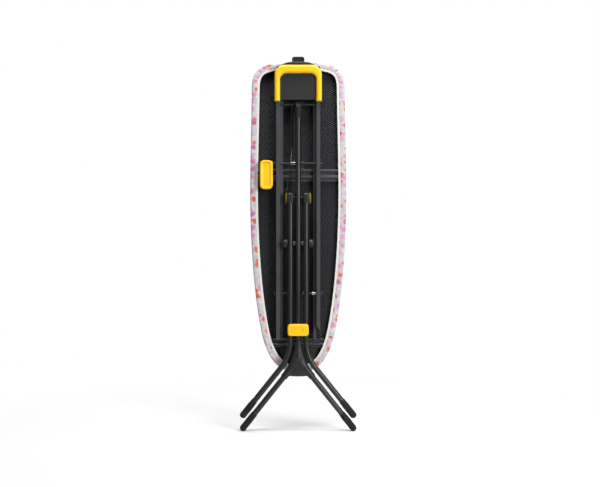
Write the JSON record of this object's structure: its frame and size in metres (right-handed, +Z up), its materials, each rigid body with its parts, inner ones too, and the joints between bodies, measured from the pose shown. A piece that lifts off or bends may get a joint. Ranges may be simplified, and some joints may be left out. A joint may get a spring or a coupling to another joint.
{
  "type": "ironing board",
  "caption": "Folding ironing board with a padded fabric-covered top on an expanded-mesh bed, scissor legs, height rails, squeeze lever and slide-out iron rest.",
  "frame": {"origin": "on the floor under the middle of the folded board's bounding box, as it stands upright on its two longest feet", "axes": "+Z up from the feet to the hanging hook, +X to the right across the board, +Y out of the ironing surface, with the legs on the -Y side"},
  "size_m": [0.4598, 0.0988, 1.4805],
  "materials": {
    "charcoal_steel": "charcoal powder coat, satin",
    "rail_steel": "grey-black powder coat on pressed sheet steel",
    "mesh_steel": "dark coated expanded steel mesh",
    "zinc_steel": "bright zinc-plated steel",
    "yellow_plastic": "warm yellow moulded plastic, fine texture",
    "black_plastic": "black moulded plastic, fine texture",
    "rubber": "dark rubber",
    "felt": "dark needled felt",
    "cotton_print": "woven cotton with a loose floral print",
    "hem_binding": "white bias binding over elastic"
  },
  "bodies": {
    "board": {"frame_tube_left": "charcoal_steel", "frame_tube_right": "charcoal_steel", "mesh_panel": "mesh_steel", "felt_pad": "felt", "cover": "cotton_print", "elastic_hem": "hem_binding", "mid_crossbeam": "rail_steel", "nose_crossbeam": "rail_steel", "nose_plate": "black_plastic", "heel_bracket": "black_plastic", "heel_moulding": "black_plastic", "heel_tab": "black_plastic", "guide_rail_left": "rail_steel", "guide_rail_right": "rail_steel", "heel_axle": "charcoal_steel", "lower_rod": "charcoal_steel", "lower_rod_cap_left": "charcoal_steel", "lower_rod_cap_right": "charcoal_steel", "lower_rod_collar": "zinc_steel", "lower_rod_clip": "zinc_steel", "spring_sleeve": "black_plastic", "spring_wire": "zinc_steel"},
    "iron_rest": {"iron_rest_rim": "yellow_plastic", "iron_rest_plate": "black_plastic", "iron_rest_runner_left": "charcoal_steel", "iron_rest_runner_right": "charcoal_steel"},
    "lever": {"release_lever": "yellow_plastic", "lever_rod": "charcoal_steel", "lever_rod_cap": "charcoal_steel", "lever_spring": "zinc_steel", "latch_pawl": "charcoal_steel", "pull_wire": "zinc_steel"},
    "leg_a": {"leg_a_tube": "charcoal_steel", "leg_a_bracket": "black_plastic", "leg_a_knuckle": "black_plastic", "leg_a_foot_tube_left": "charcoal_steel", "leg_a_foot_tube_right": "charcoal_steel", "leg_a_foot_left": "rubber", "leg_a_foot_right": "rubber"},
    "leg_b": {"leg_b_tube_left": "charcoal_steel", "leg_b_tube_right": "charcoal_steel", "leg_b_lug_left": "black_plastic", "leg_b_lug_right": "black_plastic", "elbow_pin_left": "charcoal_steel", "elbow_pin_right": "charcoal_steel", "elbow_disc_left": "yellow_plastic", "elbow_disc_right": "yellow_plastic", "scissor_axle": "charcoal_steel", "scissor_spacer_left": "charcoal_steel", "scissor_spacer_right": "charcoal_steel", "scissor_cap_left": "black_plastic", "scissor_cap_right": "black_plastic", "leg_b_foot_left": "rubber", "leg_b_foot_right": "rubber", "leg_lock": "yellow_plastic"},
    "lock_button": {"lock_button": "yellow_plastic"},
    "upper_link": {"link_bar_left": "charcoal_steel", "link_bar_right": "charcoal_steel", "link_tie": "charcoal_steel"}
  },
  "joints": [
    {"name": "iron_rest_slide", "type": "slide", "parent": "board", "child": "iron_rest", "axis": [0, 0, 1], "range_m": [0, 0.19]},
    {"name": "lever_squeeze", "type": "hinge", "parent": "board", "child": "lever", "pos_m": [0, 0.00625, 1.0572], "axis": [1, 0, 0], "range_deg": [0, 12], "stiffness_Nm_per_rad": 3},
    {"name": "leg_fold", "type": "hinge", "parent": "board", "child": "leg_a", "pos_m": [0, 0.00625, 1.2906], "axis": [-1, 0, 0], "range_deg": [0, 44.7]},
    {"name": "scissor_pivot", "type": "hinge", "parent": "leg_a", "child": "leg_b", "pos_m": [0, -0.02275, 0.7393], "axis": [-1, 0, 0], "range_deg": [0, 87]},
    {"name": "link_pivot", "type": "hinge", "parent": "board", "child": "upper_link", "pos_m": [0, 0.00625, 0.5412], "axis": [-1, 0, 0], "range_deg": [-46.6, 0]},
    {"name": "lock_press", "type": "slide", "parent": "leg_b", "child": "lock_button", "axis": [0, 1, 0], "range_m": [0, 0.003], "stiffness_N_per_m": 400}
  ],
  "couplings": [
    {"joint": "scissor_pivot", "follows": "leg_fold", "ratio": 1.9402},
    {"joint": "link_pivot", "follows": "leg_fold", "ratio": -1.0388}
  ]
}
